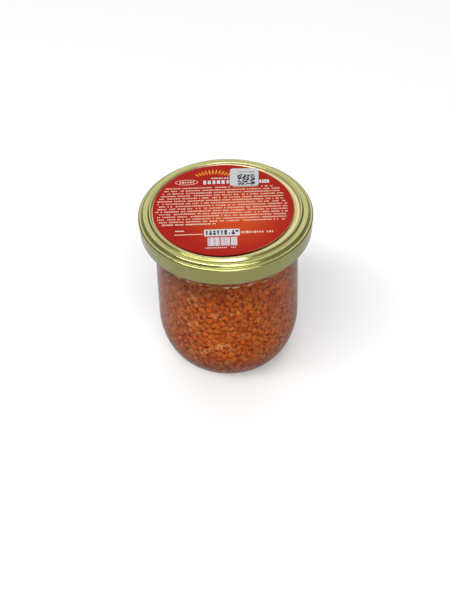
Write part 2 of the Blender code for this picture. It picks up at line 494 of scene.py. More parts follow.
def gold_material(colours, wall_radius):
    """Lacquered tinplate with rubbed streaks and faint dents, duller and paler by the label: partly
    a pale lacquer edge, partly painted light.
    """
    made, tree, shader = new_material("gold_lacquer")
    worn = mixed(tree, wear(tree, 70.0, 0.45), colours.gold, colours.gold_worn)
    cast = mottle(tree, 60.0, 1.4)
    place = shader_place(tree)
    flat = vector_maths(tree, "MULTIPLY", place, (1.0, 1.0, 0.0))
    radius = vector_maths(tree, "LENGTH", flat)
    away = maths(tree, "ABSOLUTE", maths(tree, "SUBTRACT", radius, wall_radius))
    # Partly painted light: by the label the lacquer is paler and less metallic, which lifts the
    # shade in the gap there.
    wall = ramp(tree, away, 0.0006, 0.0011, low=0.75, high=0.0)
    feed(tree, shader, Metallic=maths(tree, "MULTIPLY_ADD", wall, -0.6, 1.0))
    final = mixed(tree, wall, worn, colours.gold_edge_and_gap_light)
    grainy(tree, shader, final, cast, (0.15, 0.10), (0.22, 0.0005))
    set_plain(shader, Coat_Weight=1.0, Coat_Roughness=0.12)
    return made


def label_material(colours, middle, warm_spot, radius):
    """Red satin paper that is warmer round one spot, with a pale cut edge at the right."""
    made, tree, shader = new_material("label_paper")
    place = shader_place(tree)
    reach = vector_maths(tree, "DISTANCE", place, warm_spot)
    glow = ramp(tree, reach, 0.001, 0.031, low=1.0, high=0.0, easing="SMOOTHSTEP")
    base = mixed(tree, glow, colours.label_red, colours.label_glow)
    grain = mottle(tree, 1400.0, 1.5)
    dull = maths(tree, "MULTIPLY", grain, 0.16)
    printed = mixed(tree, dull, base, colours.label_red)
    far = vector_maths(tree, "DISTANCE", place, middle)
    edge = ramp(tree, far, radius - 0.0003, radius - 0.0002)
    across = axis(tree, place, "X")
    lifted = ramp(tree, across, 0.008, 0.022)
    paled = maths(tree, "MULTIPLY", edge, lifted)
    final = mixed(tree, paled, printed, colours.paper_edge)
    grainy(tree, shader, final, grain, (0.36, 0.12), (0.25, 0.00005))
    set_plain(shader, Specular_IOR_Level=0.06)
    return made


def ink_material(name, tint, roughness=0.45):
    """Print or paper of one tint with a fine grain."""
    made, tree, shader = new_material(name)
    grain = mottle(tree, 1600.0, 1.6)
    faded = tuple(part * 0.82 for part in tint)
    seen = mixed(tree, grain, faded, tint)
    grainy(tree, shader, seen, grain, (roughness - 0.07, 0.15), (0.2, 0.00003))
    set_plain(shader, Specular_IOR_Level=0.1)
    return made


def floor_material(colours):
    """A pale floor, painted greyer where glass and metal show it: a painted reflection."""
    made, tree, shader = new_material("studio_floor")
    soft = mottle(tree, 4.0, 0.4)
    near = tuple(part * 0.99 for part in colours.floor)
    seen = mixed(tree, soft, near, colours.floor)
    # Painted reflection: rays that come by way of glass or metal meet the darker floor colour.
    ray = tree.nodes.new("ShaderNodeLightPath")
    bent = maths(tree, "MAXIMUM", ray.outputs["Is Glossy Ray"], ray.outputs["Is Transmission Ray"])
    final = mixed(tree, bent, seen, colours.floor_in_painted_reflections)
    feed(tree, shader, Base_Color=final)
    set_plain(shader, Roughness=0.9, Specular_IOR_Level=0.1)
    return made


def arc(centre, radii, start, end, steps):
    """Points of an ellipse's arc in the (radius, height) plane, with the angles in degrees."""
    points = []
    for i in range(steps + 1):
        angle = math.radians(start + (end - start) * i / steps)
        across, up = radii[0] * math.cos(angle), radii[1] * math.sin(angle)
        points.append((centre[0] + across, centre[1] + up))
    return points


def flare(radii, heights, steps):
    """Points of a soft S that leads from one radius and height to another."""
    points = []
    for i in range(steps + 1):
        share = i / steps
        eased = (1 - math.cos(math.pi * share)) / 2
        radius = radii[0] + (radii[1] - radii[0]) * eased
        points.append((radius, heights[0] + (heights[1] - heights[0]) * share))
    return points


def offset(profile, distance):
    """The profile moved sideways by a distance, to the right of the way it runs."""
    points = [Vector(point) for point in profile]
    moved = []
    for i, point in enumerate(points):
        way = points[min(i + 1, len(points) - 1)] - points[max(i - 1, 0)]
        side = Vector((way.y, -way.x)).normalized()
        moved.append(tuple(point + side * distance))
    return moved


def refined(profile, step):
    """The profile with extra points, so that none are further apart than the step."""
    points = [profile[0]]
    for start, end in zip(profile, profile[1:]):
        parts = max(1, math.ceil(math.dist(start, end) / step))
        for i in range(1, parts + 1):
            share = i / parts
            points.append(tuple(a + (b - a) * share for a, b in zip(start, end)))
    return points


def turned(name, profile, steps=TURN_STEPS, sharp=50):
    """A mesh object made by turning (radius, height) points round the Z axis."""
    mesh = bmesh.new()
    turns = [2 * math.pi * i / steps for i in range(steps)]
    rings = []
    for radius, height in profile:
        if radius > 0:
            around = [(radius * math.cos(a), radius * math.sin(a), height) for a in turns]
            rings.append([mesh.verts.new(place) for place in around])
        else:
            rings.append([mesh.verts.new((0, 0, height))] * steps)
    for low, high in zip(rings, rings[1:]):
        for i in range(steps):
            after = (i + 1) % steps
            corners = dict.fromkeys((low[i], low[after], high[after], high[i]))
            mesh.faces.new(list(corners))
    bmesh.ops.recalc_face_normals(mesh, faces=mesh.faces)
    return finished(name, mesh, sharp)


def finished(name, mesh, sharp=50):
    data = bpy.data.meshes.new(name)
    mesh.to_mesh(data)
    mesh.free()
    data.shade_smooth()
    data.set_sharp_from_angle(angle=math.radians(sharp))
    obj = bpy.data.objects.new(name, data)
    bpy.context.scene.collection.objects.link(obj)
    return obj


def settle(piece, material, node):
    """Gives a finished piece its material and its body, and hides the node it replaces."""
    if material:
        piece.data.materials.clear()
        piece.data.materials.append(material)
    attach(piece, "root")
    if node:
        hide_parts(node)


def baked(name, source, tree, inputs):
    """The mesh that a geometry tree makes from a source object, as an object of its own."""
    modifier = source.modifiers.new("shape", "NODES")
    modifier.node_group = tree
    for socket in tree.interface.items_tree:
        if socket.in_out == "INPUT" and socket.name in inputs:
            modifier[socket.identifier] = inputs[socket.name]
    graph = bpy.context.evaluated_depsgraph_get()
    data = bpy.data.meshes.new_from_object(source.evaluated_get(graph))
    data.name = name
    if not data.vertices:
        raise RuntimeError(f"{name} came out empty")
    made = bpy.data.objects.new(name, data)
    bpy.context.scene.collection.objects.link(made)
    bpy.data.objects.remove(source)
    return made


def inner_wall(jar, steps):
    """The jar's inside outline, from the middle of the bottom up to the neck."""
    inner_foot = jar.foot_radius - jar.wall / 2
    bowl_radii = (jar.body_radius - jar.wall - inner_foot, jar.bowl_height - jar.bottom)
    bowl = arc((inner_foot, jar.bowl_height), bowl_radii, -90, 0, 3 * steps)
    neck = flare((jar.waist_radius - jar.wall, jar.neck_inner_radius), NECK_INSIDE, 2 * steps)
    return [(0, jar.bottom), *bowl, *neck]


def outer_wall(jar, steps):
    """The jar's outside outline, from the middle of the hollow foot up to the rim."""
    rim_round = 0.0010
    rim_centre = (jar.neck_radius - rim_round, JAR_HIGH.z - rim_round)
    foot_round = 0.0006
    bowl_radii = (jar.body_radius - jar.foot_radius, jar.bowl_height)
    return [
        (0, jar.push_up),
        (jar.foot_inner_radius - jar.push_up, jar.push_up),
        *arc((jar.foot_inner_radius, foot_round), (foot_round, foot_round), -150, -90, 4),
        *arc((jar.foot_radius, jar.bowl_height), bowl_radii, -90, 0, 4 * steps),
        *flare((jar.waist_radius, jar.neck_radius), NECK_OUTSIDE, 2 * steps),
        *arc(rim_centre, (rim_round, rim_round), 0, 180, 8),
        (jar.neck_inner_radius, JAR_HIGH.z - 2 * rim_round),
    ]


def heap_outline(jar, inset, top):
    """A closed outline that lies inside the jar's inner wall by the inset, up to a level."""
    wall = refined(inner_wall(jar, 6), 0.0008)
    moved = [(max(r, 0), z) for r, z in offset(wall, -inset) if z < top]
    moved[0] = (0, jar.bottom + inset)
    return [*moved, (moved[-1][0], top), (0, top)]


class ROE_OT_jar(bpy.types.Operator):
    """Make the glass jar."""

    bl_idname = "roe.jar"
    bl_label = "Glass jar"

    def execute(self, context):
        jar = context.scene.roe_jar_sizes
        profile = [*outer_wall(jar, 8), *reversed(inner_wall(jar, 8))]
        glass = turned("glass", profile, sharp=80)
        colours = context.scene.roe_jar_colours
        settle(glass, glass_material(colours), "jar_glass")
        glass.data.materials.append(wet_material("wet_glass", colours.glass, 1.10))
        for face in glass.data.polygons:
            face.material_index = int(is_wet(face, jar.bottom))
        return {"FINISHED"}


def is_wet(face, bottom):
    """Whether a face of the jar touches the brine."""
    flat_way = face.normal.x * face.center.x + face.normal.y * face.center.y
    inside = flat_way < 0 or face.normal.z > 0.5
    return inside and bottom - 0.0001 < face.center.z < ROE_HIGH.z


class ROE_OT_brine(bpy.types.Operator):
    """Make the clear liquid, which reaches just into the glass."""

    bl_idname = "roe.brine"
    bl_label = "Brine"

    def execute(self, context):
        jar = context.scene.roe_jar_sizes
        brine = turned("brine", heap_outline(jar, -BRINE_REACH, ROE_HIGH.z), sharp=80)
        liquid = wet_material("brine", context.scene.roe_jar_colours.brine, 1.03)
        settle(brine, liquid, "roe")
        return {"FINISHED"}


def egg_tree():
    """Eggs scattered over a surface, pressed flat where they meet the wall."""
    tree, given, result = new_group(
        "egg_layer", "GeometryNodeTree",
        [
            ("Geometry", SHAPE, None), ("Egg radius", FLOAT, 0.0023),
            ("Egg spacing", FLOAT, 0.004), ("Egg spread", FLOAT, 0.1),
            ("Press", FLOAT, 0.0002), ("Seed", WHOLE, 1), ("Material", STUFF, None),
        ],
        [("Geometry", SHAPE)],
    )
    seed = given.outputs["Seed"]
    turn = put(tree, "FunctionNodeRandomValue", {
        "Min": (-math.pi,) * 3, "Max": (math.pi,) * 3, "Seed": seed,
    }, data_type="FLOAT_VECTOR")
    eggs = put(tree, "GeometryNodeInstanceOnPoints", {
        "Points": egg_middles(tree, given), "Instance": egg_ball(tree),
        "Rotation": turn.outputs[0], "Scale": egg_size(tree, given),
    })
    tone = put(tree, "FunctionNodeRandomValue", {"Seed": seed})
    toned = put(tree, "GeometryNodeStoreNamedAttribute", {
        "Geometry": eggs.outputs[0], "Name": TONE, "Value": tone.outputs[1],
    }, data_type="FLOAT", domain="INSTANCE")
    real = put(tree, "GeometryNodeRealizeInstances", {"Geometry": toned.outputs[0]})
    pressed = press_nodes(tree, real.outputs[0], given.outputs["Geometry"])
    smooth = put(tree, "GeometryNodeSetShadeSmooth", {"Geometry": pressed})
    finish_tree(tree, given, result, smooth)
    return tree


def egg_middles(tree, given):
    """Points that lie under the surface, each by about the radius of its egg."""
    seed = given.outputs["Seed"]
    spots = put(tree, "GeometryNodeDistributePointsOnFaces", {
        "Mesh": given.outputs["Geometry"], "Distance Min": given.outputs["Egg spacing"],
        "Density Max": EGG_DENSITY, "Seed": seed,
    }, distribute_method="POISSON")
    sink = put(tree, "FunctionNodeRandomValue", {
        "Min": EGG_SINK[0], "Max": EGG_SINK[1], "Seed": seed,
    })
    deep = maths(tree, "SUBTRACT", given.outputs["Press"], given.outputs["Egg radius"])
    depth = maths(tree, "SUBTRACT", deep, sink.outputs["Value"])
    inward = put(tree, "ShaderNodeVectorMath", {
        0: spots.outputs["Normal"], "Scale": depth,
    }, operation="SCALE")
    return put(tree, "GeometryNodeSetPosition", {
        "Geometry": spots.outputs["Points"], "Offset": inward.outputs[0],
    }).outputs[0]


def egg_ball(tree):
    """A ball of radius one, whose points keep their own places for the oil drop."""
    ball = put(tree, "GeometryNodeMeshIcoSphere", {"Radius": 1.0, "Subdivisions": 2})
    own_place = put(tree, "GeometryNodeInputPosition").outputs[0]
    return put(tree, "GeometryNodeStoreNamedAttribute", {
        "Geometry": ball.outputs["Mesh"], "Name": EGG_AT, "Value": own_place,
    }, data_type="FLOAT_VECTOR", domain="POINT").outputs[0]


def egg_size(tree, given):
    """Each egg's radius, larger or smaller than the mean by up to the spread."""
    low = maths(tree, "SUBTRACT", 1.0, given.outputs["Egg spread"])
    high = maths(tree, "ADD", 1.0, given.outputs["Egg spread"])
    share = put(tree, "FunctionNodeRandomValue", {2: low, 3: high, "Seed": given.outputs["Seed"]})
    return maths(tree, "MULTIPLY", share.outputs[1], given.outputs["Egg radius"])


def finish_tree(tree, given, result, shape):
    """Gives the shape the tree's material and makes it the tree's result."""
    done = put(tree, "GeometryNodeSetMaterial", {
        "Geometry": shape.outputs[0], "Material": given.outputs["Material"],
    })
    tree.links.new(done.outputs[0], result.inputs[0])


def press_nodes(tree, shape, wall):
    """Moves points outside the wall back onto it, and stores how deep each point lies."""
    place = put(tree, "GeometryNodeInputPosition").outputs[0]
    found = []
    for kind in ("GeometryNodeInputPosition", "GeometryNodeInputNormal"):
        sampled = put(tree, "GeometryNodeSampleNearestSurface", {
            "Mesh": wall, "Sample Position": place, "Value": put(tree, kind).outputs[0],
        }, data_type="FLOAT_VECTOR")
        found.append(sampled.outputs[0])
    nearest, facing = found
    way = vector_maths(tree, "SUBTRACT", place, nearest)
    out = vector_maths(tree, "DOT_PRODUCT", way, facing)
    outside = put(tree, "FunctionNodeCompare", {0: out, 1: 0.0}, operation="GREATER_THAN")
    moved = put(tree, "GeometryNodeSetPosition", {
        "Geometry": shape, "Selection": outside.outputs[0], "Position": nearest,
    })
    deep = put(tree, "GeometryNodeStoreNamedAttribute", {
        "Geometry": moved.outputs[0], "Name": DEPTH,
        "Value": maths(tree, "MULTIPLY", out, -1.0),
    }, data_type="FLOAT", domain="POINT")
    return deep.outputs[0]


class ROE_OT_eggs(bpy.types.Operator):
    """Make the eggs that lie against the glass."""

    bl_idname = "roe.eggs"
    bl_label = "Eggs"

    def execute(self, context):
        jar = context.scene.roe_jar_sizes
        roe = context.scene.roe_roe_sizes
        skin = turned("egg_wall", heap_outline(jar, EGG_GAP, EGG_LEVEL))
        eggs = baked("eggs", skin, egg_tree(), {
            "Egg radius": roe.egg_radius, "Egg spacing": roe.egg_spacing,
            "Egg spread": roe.egg_spread, "Press": EGG_PRESS, "Seed": roe.egg_seed,
            "Material": egg_material(context.scene.roe_jar_colours),
        })
        settle(eggs, None, "roe")
        return {"FINISHED"}


class ROE_OT_milk(bpy.types.Operator):
    """Make the milky juice between the eggs, which hides the middle of the heap."""

    bl_idname = "roe.milk"
    bl_label = "Milky juice"

    def execute(self, context):
        jar = context.scene.roe_jar_sizes
        roe = context.scene.roe_roe_sizes
        outline = heap_outline(jar, roe.milk_depth + roe.milk_swell / 2, MILK_LEVEL)
        milk = turned("milk", refined(outline, 0.0009), steps=220)
        ways = [vertex.normal.copy() for vertex in milk.data.vertices]
        for vertex, way in zip(milk.data.vertices, ways):
            slow = noise.noise(vertex.co * 170)
            fast = noise.noise(vertex.co * 520)
            vertex.co += way * roe.milk_swell * (0.8 * slow + 0.5 * fast)
        settle(milk, milk_material(context.scene.roe_jar_colours), "roe")
        return {"FINISHED"}


def froth_and_glint_material(colours):
    """Pale wet froth with a fine grain, painted paler to stand in for glints in the lid's shade."""
    made, tree, shader = new_material("foam")
    grain = mottle(tree, 1300.0, 2.2)
    # Painted highlight: the pale colour makes the flecks stand in for glints under the lid.
    tint = mixed(tree, grain, colours.milk_pale, colours.foam)
    feed(tree, shader, Base_Color=tint)
    bump(tree, shader, grain, 0.3, 0.0001)
    set_plain(shader, Roughness=0.35)
    return made


class ROE_OT_froth_and_glints(bpy.types.Operator):
    """Make the pale flecks against the glass under the lid: froth, and painted glints there."""

    bl_idname = "roe.foam"
    bl_label = "Foam"

    def execute(self, context):
        jar = context.scene.roe_jar_sizes
        roe = context.scene.roe_roe_sizes
        wall = [(r, z) for r, z in inner_wall(jar, 12) if z > roe.fleck_low - 0.002]
        chance = random.Random(roe.egg_seed)
        mesh = bmesh.new()
        for _ in range(roe.fleck_count):
            height = chance.uniform(roe.fleck_low, roe.fleck_high)
            radius = min(wall, key=lambda point: abs(point[1] - height))[0] - 0.0001
            turn = Matrix.Rotation(chance.uniform(0, 2 * math.pi), 4, "Z")
            size = (FLECK_DEPTH, chance.uniform(*FLECK_WIDTH), chance.uniform(*FLECK_HEIGHT))
            place = turn @ Matrix.Translation((radius, 0, height)) @ Matrix.Diagonal((*size, 1))
            bmesh.ops.create_icosphere(mesh, subdivisions=2, radius=1, matrix=place)
        foam = finished("foam", mesh, 80)
        settle(foam, froth_and_glint_material(context.scene.roe_jar_colours), "roe")
        return {"FINISHED"}


def lid_profile(lid):
    """The lid's outer face from its middle to the end of its rolled hem."""
    top = LID_HIGH.z
    panel = top - lid.panel_drop
    crest = (lid.crest_radius, top - lid.crest_round)
    bead = (lid.bead_radius, top - lid.bead_drop - lid.bead_round)
    shoulder = (LID_HIGH.x - lid.shoulder_round, top - lid.shoulder_drop - lid.shoulder_round)
    hem = (lid.skirt_foot_radius - lid.hem_round, LID_LOW.z + lid.hem_round)
    fillet = 0.0005
    wall = lid.crest_radius - lid.crest_round
    groove = (lid.groove_radius, top - lid.groove_drop + lid.groove_round)
    step = (lid.bead_radius + lid.bead_round + fillet / 2, top - lid.shoulder_drop + fillet / 2)
    return [
        (0, panel),
        (wall - fillet, panel),
        *arc((wall - fillet, panel + fillet), (fillet, fillet), -80, -10, 6),
        *arc(crest, (lid.crest_round,) * 2, 170, 58, 14),
        *arc(groove, (lid.groove_round,) * 2, 240, 285, 6),
        *arc(bead, (lid.bead_round,) * 2, 108, 8, 16),
        *arc(step, (fillet / 2,) * 2, 195, 265, 5),
        *arc(shoulder, (lid.shoulder_round,) * 2, 92, 0, 14),
        *arc(hem, (lid.hem_round,) * 2, 0, -250, 14),
    ]


class ROE_OT_lid(bpy.types.Operator):
    """Make the pressed gold lid."""

    bl_idname = "roe.lid"
    bl_label = "Lid"

    def execute(self, context):
        sizes = context.scene.roe_lid_sizes
        outer = lid_profile(sizes)
        inner = [(max(r, 0), z) for r, z in offset(outer, SHEET)]
        inner[0] = (0, inner[0][1])
        lid = turned("gold_lid", [*outer, *reversed(inner)], steps=180, sharp=60)
        wall_radius = sizes.crest_radius - sizes.crest_round - 0.0006
        gold = gold_material(context.scene.roe_jar_colours, wall_radius)
        settle(lid, gold, "lid")
        return {"FINISHED"}


class ROE_OT_label(bpy.types.Operator):
    """Make the round paper label."""

    bl_idname = "roe.label"
    bl_label = "Label"

    def execute(self, context):
        low, high = LABEL_LOW, LABEL_HIGH
        radius = (high.x - low.x) / 2
        edge = 0.00008
        profile = [
            (0, low.z), (radius - edge, low.z), (radius, low.z + edge),
            (radius, high.z - edge), (radius - edge, high.z), (0, high.z),
        ]
        label = turned("paper_label", profile, sharp=30)
        middle = Vector(((low.x + high.x) / 2, (low.y + high.y) / 2, high.z))
        label.data.transform(Matrix.Translation((middle.x, middle.y, 0)))
        warm_spot = (0.0045, -0.0050, high.z)
        paper = label_material(context.scene.roe_jar_colours, middle, warm_spot, radius)
        settle(label, paper, "lid_label")
        return {"FINISHED"}


def print_tree():
    """Rows of flat blocks, with some left out: printed lines, bars or the squares of a code."""
    tree, given, result = new_group(
        "print_blocks", "GeometryNodeTree",
        [
            ("Geometry", SHAPE, None), ("Columns", WHOLE, 10), ("Rows", WHOLE, 1),
            ("Pitch", TRIPLE, (0.001, 0.002, 0)), ("Block", TRIPLE, (0.0008, 0.001, 0.0001)),
            ("Spread", TRIPLE, (0.3, 0.2, 0)), ("Gaps", FLOAT, 0.2), ("Reach", FLOAT, 0.034),
            ("Disc", TRIPLE, (0, 0, 0)), ("Corner", TRIPLE, (0, 0, 0)), ("Seed", WHOLE, 1),
            ("Material", STUFF, None),
        ],
        [("Geometry", SHAPE)],
    )
    cube = put(tree, "GeometryNodeMeshCube")
    cubes = put(tree, "GeometryNodeInstanceOnPoints", {
        "Points": block_places(tree, given), "Instance": cube.outputs["Mesh"],
        "Scale": block_size(tree, given),
    })
    real = put(tree, "GeometryNodeRealizeInstances", {"Geometry": cubes.outputs[0]})
    finish_tree(tree, given, result, real)
    return tree


def block_places(tree, given):
    """The points of the grid, less some at random and those beyond the disc."""
    columns = given.outputs["Columns"]
    index = put(tree, "GeometryNodeInputIndex").outputs[0]
    column = maths(tree, "MODULO", index, columns)
    row = maths(tree, "FLOOR", maths(tree, "DIVIDE", index, columns))
    grid = put(tree, "ShaderNodeCombineXYZ", {0: column, 1: row})
    spaced = vector_maths(tree, "MULTIPLY", grid.outputs[0], given.outputs["Pitch"])
    placed = vector_maths(tree, "ADD", spaced, given.outputs["Corner"])
    count = maths(tree, "MULTIPLY", columns, given.outputs["Rows"])
    points = put(tree, "GeometryNodePoints", {"Count": count, "Position": placed})
    chance = put(tree, "FunctionNodeRandomValue", {
        "Probability": given.outputs["Gaps"], "Seed": given.outputs["Seed"],
    }, data_type="BOOLEAN")
    place = put(tree, "GeometryNodeInputPosition").outputs[0]
    away = vector_maths(tree, "DISTANCE", place, given.outputs["Disc"])
    beyond = put(tree, "FunctionNodeCompare", {0: away, 1: given.outputs["Reach"]},
                 operation="GREATER_THAN")
    out = put(tree, "FunctionNodeBooleanMath", {0: chance.outputs[3], 1: beyond.outputs[0]},
              operation="OR")
    return put(tree, "GeometryNodeDeleteGeometry", {
        "Geometry": points.outputs[0], "Selection": out.outputs[0],
    }).outputs[0]


def block_size(tree, given):
    """Each block's size, smaller than the full one by up to the spread."""
    less = put(tree, "FunctionNodeRandomValue", {
        "Min": (0, 0, 0), "Max": given.outputs["Spread"], "Seed": given.outputs["Seed"],
    }, data_type="FLOAT_VECTOR")
    rest = vector_maths(tree, "SUBTRACT", (1, 1, 1), less.outputs[0])
    return vector_maths(tree, "MULTIPLY", rest, given.outputs["Block"])


def blocks(name, material, seed, columns, pitch, corner, block, spread, gaps=0.0, rows=1,
           level=LABEL_HIGH.z, field=((0, 0), 1.0)):
    """Printed blocks on a grid whose corner is given from the paper's middle.

    Each is smaller than the block by up to the spread. The gaps are the share left out. The field
    is the middle and the radius of the disc that is printed.
    """
    tree = bpy.data.node_groups.get("print_blocks") or print_tree()
    source = bpy.data.objects.new(name + "_source", bpy.data.meshes.new(name + "_source"))
    bpy.context.scene.collection.objects.link(source)
    return baked(name, source, tree, {
        "Columns": columns, "Rows": rows, "Pitch": (*pitch, 0), "Corner": (*corner, level),
        "Block": (*block, 2 * bpy.context.scene.roe_label_sizes.ink_height),
        "Spread": (*spread, 0), "Gaps": gaps, "Disc": (*field[0], level), "Reach": field[1],
        "Seed": seed, "Material": material,
    })


def flat_shape(name, outline, low, high):
    """A thin solid with a given outline between two heights."""
    mesh = bmesh.new()
    rings = [[mesh.verts.new((x, y, z)) for x, y in outline] for z in (low, high)]
    for ring in rings:
        mesh.faces.new(ring)
    for i in range(len(outline)):
        mesh.faces.new((rings[0][i - 1], rings[0][i], rings[1][i], rings[1][i - 1]))
    bmesh.ops.recalc_face_normals(mesh, faces=mesh.faces)
    return finished(name, mesh, 30)


def ink_levels():
    """The lowest and the highest level of the print on the label."""
    height = bpy.context.scene.roe_label_sizes.ink_height
    return LABEL_HIGH.z - height, LABEL_HIGH.z + height


def rounded(centre, size, corner, steps=5):
    """The outline of a rounded rectangle."""
    half_width = size[0] / 2 - corner
    half_depth = size[1] / 2 - corner
    outline = []
    for quarter, (side, front) in enumerate(((1, 1), (-1, 1), (-1, -1), (1, -1))):
        middle = (centre[0] + side * half_width, centre[1] + front * half_depth)
        outline += arc(middle, (corner, corner), 90 * quarter, 90 * quarter + 90, steps)
    return outline


def print_piece(name, parts, material,
                place=Matrix.Translation(PRINT_MIDDLE)):
    """Joins printed parts into one piece and puts it in its place."""
    mesh = bmesh.new()
    for part in parts:
        mesh.from_mesh(part.data)
        bpy.data.objects.remove(part)
    piece = finished(name, mesh, 30)
    piece.data.transform(place)
    settle(piece, material, None)


class ROE_OT_lines(bpy.types.Operator):
    """Print the label's small lines, bars and marks, none of which is a letter."""

    bl_idname = "roe.lines"
    bl_label = "Printed lines"

    def execute(self, context):
        sizes = context.scene.roe_label_sizes
        ink = ink_material("pale_ink", context.scene.roe_jar_colours.pale_ink)
        field = ((-0.0016, 0.0005), sizes.print_reach)
        text = {"pitch": (0.00082, sizes.line_pitch), "spread": (0.35, 0.30), "field": field}
        print_piece("printed_lines", [
            blocks("text", ink, seed=3, columns=82, rows=sizes.line_count,
                   corner=(-0.0337, -0.0088), block=(0.00072, 0.00098), gaps=0.17, **text),
            blocks("last_line", ink, seed=8, columns=32, corner=(-0.0306, -0.0108),
                   block=(0.00080, 0.00115), gaps=0.06, **text),
            blocks("marks", ink, seed=5, columns=13, pitch=(0.00122, 0.002), spread=(0.45, 0.4),
                   corner=(0.0078, -0.0178), block=(0.00105, 0.0019), gaps=0.08, field=field),
            flat_shape("dash", rounded((-0.0223, -0.0157), (0.0044, 0.0008), 0.0002, 2),
                       *ink_levels()),
            flat_shape("dash", rounded((-0.0179, -0.0184), (0.0138, 0.0006), 0.0002, 2),
                       *ink_levels()),
        ], ink)
        return {"FINISHED"}


class ROE_OT_panels(bpy.types.Operator):
    """Print the label's white field and bars, and the dark marks on the field."""

    bl_idname = "roe.panels"
    bl_label = "Printed fields"

    def execute(self, context):
        colours = context.scene.roe_jar_colours
        white = ink_material("white_ink", colours.white_ink)
        print_piece("white_field", [
            flat_shape("field", rounded((-0.0019, -0.0176), (0.0172, 0.0050), 0.0005),
                       *ink_levels()),
            blocks("bars", white, seed=12, columns=34, pitch=(0.00042, 0.002), gaps=0.12,
                   corner=(-0.0088, -0.0241), block=(0.00042, 0.0062), spread=(0.5, 0.0)),
            blocks("dots", white, seed=6, columns=17, pitch=(0.00088, 0.002), gaps=0.15,
                   corner=(-0.0098, -0.0286), block=(0.0006, 0.0009), spread=(0.3, 0.2)),
        ], white)
        dark = ink_material("dark_ink", colours.dark_ink, 0.55)
        marks = blocks(
            "marks", dark, seed=21, columns=9, rows=2, pitch=(0.00182, 0.0017), gaps=0.10,
            corner=(-0.0092, -0.0184), block=(0.00150, 0.0018), spread=(0.65, 0.45),
            level=ink_levels()[1],
        )
        print_piece("date_marks", [marks], dark)
        return {"FINISHED"}


class ROE_OT_ornament(bpy.types.Operator):
    """Print a row of leaves, plain bars and an oval ring at the top of the label."""

    bl_idname = "roe.ornament"
    bl_label = "Ornament"

    def execute(self, context):
        colours = context.scene.roe_jar_colours
        print_piece("leaf_spray", make_leaves(), ink_material("warm_ink", colours.warm_ink))
        ink = ink_material("heading_ink", colours.white_ink)
        bars = {"material": ink, "spread": (0.45, 0.15)}
        print_piece("heading_bars", [
            blocks("wide", seed=2, columns=6, pitch=(0.0023, 0.002),
                   corner=(-0.0097, 0.0214), block=(0.0020, 0.0031), **bars),
            blocks("small", seed=9, columns=7, pitch=(0.0013, 0.002),
                   corner=(-0.0060, 0.0245), block=(0.0011, 0.0010), **bars),
            blocks("side", seed=14, columns=4, pitch=(0.0013, 0.002),
                   corner=(0.0180, 0.0210), block=(0.0011, 0.0026), **bars),
        ], ink)
        print_piece("oval_badge", [
            oval_ring((-0.0187, 0.0219), (0.0058, 0.0021), 0.0004, ink_levels()),
            blocks("badge", seed=4, columns=6, pitch=(0.0013, 0.002),
                   corner=(-0.0219, 0.0219), block=(0.0010, 0.0016), **bars),
        ], ink_material("ring_ink", colours.pale_ink))
        return {"FINISHED"}


def make_leaves():
    """A row of leaves that fan out, larger in the middle."""
    leaves = []
    for i in range(LEAF_COUNT):
        share = i / (LEAF_COUNT - 1)
        swell = math.sin(math.pi * share)
        outline = leaf_outline(0.0030 + 0.0016 * swell, 0.0011, math.radians(130 - 80 * share))
        leaf = flat_shape("leaf", outline, *ink_levels())
        place = (-0.0124 + 0.0138 * share, 0.0262 + 0.0012 * swell, 0)
        leaf.data.transform(Matrix.Translation(place))
        leaves.append(leaf)
    return leaves


def leaf_outline(length, width, angle, steps=8):
    """The outline of a pointed leaf whose stalk end is at the origin."""
    near = []
    for i in range(steps):
        share = i / steps
        near.append((length * share, width / 2 * math.sin(math.pi * share)))
    far = [(length - x, -y) for x, y in near]
    turn = Matrix.Rotation(angle, 2)
    return [tuple(turn @ Vector(point)) for point in (*near, *far)]


def oval_ring(centre, radii, width, levels, steps=48):
    """A thin oval ring, as a printed outline."""
    mesh = bmesh.new()
    loops = []
    for z in levels:
        for grow in (0, -width):
            ends = (radii[0] + grow, radii[1] + grow)
            points = arc(centre, ends, 0, 360 - 360 / steps, steps - 1)
            loops.append([mesh.verts.new((x, y, z)) for x, y in points])
    outer_low, inner_low, outer_high, inner_high = loops
    for first, second in (
        (outer_low, outer_high), (outer_high, inner_high), (inner_high, inner_low),
        (inner_low, outer_low),
    ):
        for i in range(steps):
            after = (i + 1) % steps
            mesh.faces.new((first[i], first[after], second[after], second[i]))
    bmesh.ops.recalc_face_normals(mesh, faces=mesh.faces)
    return finished("oval_ring", mesh, 30)


class ROE_OT_sticker(bpy.types.Operator):
    """Make the small white sticker with its random squares."""

    bl_idname = "roe.sticker"
    bl_label = "Sticker"

    def execute(self, context):
        colours = context.scene.roe_jar_colours
        middle = (STICKER_LOW + STICKER_HIGH) / 2
        turn = Matrix.Rotation(math.radians(-2), 4, "Z")
        place = Matrix.Translation((middle.x, middle.y, 0)) @ turn
        outline = rounded((0, 0), STICKER_SIZE, 0.0018, 6)
        paper = flat_shape("paper_sticker", outline, STICKER_LOW.z, STICKER_HIGH.z)
        paper.data.transform(place)
        white = ink_material("sticker_paper", colours.sticker, 0.5)
        settle(paper, white, "code_sticker")
        ink = ink_material("sticker_ink", colours.dark_ink, 0.55)
        shared = {"material": ink, "level": STICKER_HIGH.z}
        print_piece("sticker_code", [
            blocks("squares", seed=17, columns=14, rows=14, pitch=(CODE_SQUARE, CODE_SQUARE),
                   corner=(-0.0030, -0.0060), block=(CODE_SQUARE, CODE_SQUARE),
                   spread=(0.04, 0.04), gaps=0.42, **shared),
            blocks("caption", seed=18, columns=10, pitch=(0.00085, 0.001), gaps=0.1,
                   corner=(-0.0028, 0.0040), block=(0.00055, 0.0007), spread=(0.3, 0.2), **shared),
        ], ink, place)
        return {"FINISHED"}


